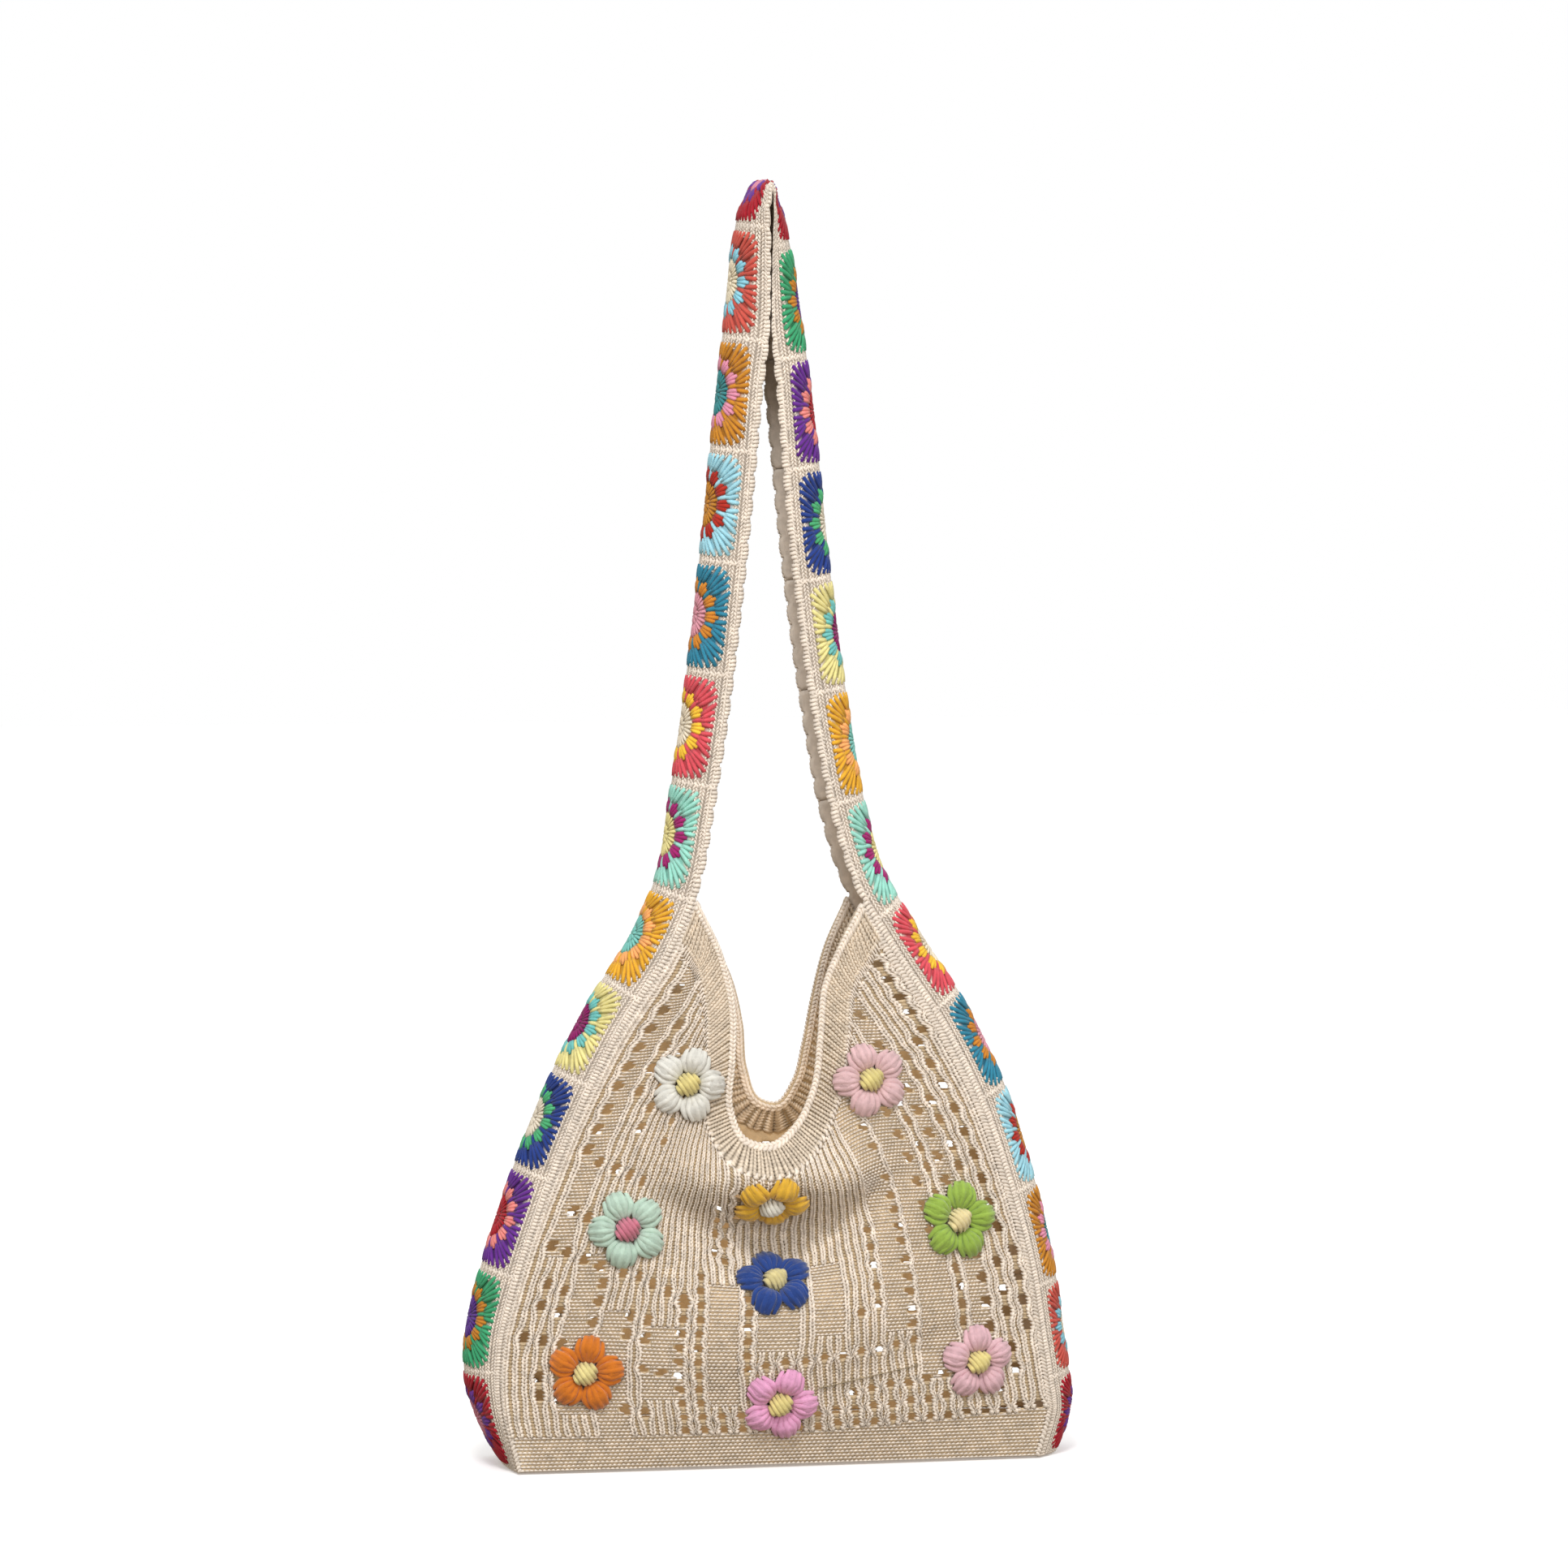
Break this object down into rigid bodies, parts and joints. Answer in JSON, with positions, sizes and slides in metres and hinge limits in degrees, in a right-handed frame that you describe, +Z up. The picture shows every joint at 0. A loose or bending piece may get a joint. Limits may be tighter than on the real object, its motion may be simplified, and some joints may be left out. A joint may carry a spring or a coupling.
{
  "type": "crochet shoulder bag",
  "caption": "Slouchy knitted and crocheted cotton shoulder bag, hung by its long strap of crocheted squares, with puff flowers on the front.",
  "frame": {"origin": "inside face of the strap at its highest point, where a hook holds the bag", "axes": "+Z up; -Y out of the front, on which the flowers are sewn; +X to the right seen from the front"},
  "size_m": [0.4069, 0.1343, 0.841],
  "materials": {
    "cream_cotton": "matte",
    "crimson_yarn": "matte",
    "leaf_green_yarn": "matte",
    "violet_yarn": "matte",
    "navy_yarn": "matte",
    "pale_yellow_yarn": "matte",
    "apricot_yarn": "matte",
    "aqua_yarn": "matte",
    "coral_yarn": "matte",
    "teal_yarn": "matte",
    "sky_yarn": "matte",
    "ochre_yarn": "matte",
    "terracotta_yarn": "matte",
    "white_petal_yarn": "matte",
    "white_centre_yarn": "matte",
    "pink_petal_yarn": "matte",
    "pink_centre_yarn": "matte",
    "mint_petal_yarn": "matte",
    "mint_centre_yarn": "matte",
    "yellow_petal_yarn": "matte",
    "yellow_centre_yarn": "matte",
    "green_petal_yarn": "matte",
    "green_centre_yarn": "matte",
    "blue_petal_yarn": "matte",
    "blue_centre_yarn": "matte",
    "orange_petal_yarn": "matte",
    "orange_centre_yarn": "matte",
    "rose_petal_yarn": "matte",
    "rose_centre_yarn": "matte",
    "blush_petal_yarn": "matte",
    "blush_centre_yarn": "matte"
  },
  "bodies": {
    "root": {"front_panel": "cream_cotton", "back_panel": "cream_cotton", "front_neckband": "cream_cotton", "back_neckband": "cream_cotton", "base": "cream_cotton", "square_01": "crimson_yarn", "square_02": "leaf_green_yarn", "square_03": "violet_yarn", "square_04": "navy_yarn", "square_05": "pale_yellow_yarn", "square_06": "apricot_yarn", "square_07": "aqua_yarn", "square_08": "coral_yarn", "square_09": "teal_yarn", "square_10": "sky_yarn", "square_11": "ochre_yarn", "square_12": "terracotta_yarn", "square_13": "crimson_yarn", "square_14": "leaf_green_yarn", "square_15": "violet_yarn", "square_16": "navy_yarn", "square_17": "pale_yellow_yarn", "square_18": "apricot_yarn", "square_19": "aqua_yarn", "square_20": "coral_yarn", "square_21": "teal_yarn", "square_22": "sky_yarn", "square_23": "ochre_yarn", "square_24": "terracotta_yarn", "square_25": "crimson_yarn", "flower_white_petals": "white_petal_yarn", "flower_white_centre": "white_centre_yarn", "flower_pink_petals": "pink_petal_yarn", "flower_pink_centre": "pink_centre_yarn", "flower_mint_petals": "mint_petal_yarn", "flower_mint_centre": "mint_centre_yarn", "flower_yellow_petals": "yellow_petal_yarn", "flower_yellow_centre": "yellow_centre_yarn", "flower_green_petals": "green_petal_yarn", "flower_green_centre": "green_centre_yarn", "flower_blue_petals": "blue_petal_yarn", "flower_blue_centre": "blue_centre_yarn", "flower_orange_petals": "orange_petal_yarn", "flower_orange_centre": "orange_centre_yarn", "flower_rose_petals": "rose_petal_yarn", "flower_rose_centre": "rose_centre_yarn", "flower_blush_petals": "blush_petal_yarn", "flower_blush_centre": "blush_centre_yarn"}
  },
  "joints": []
}
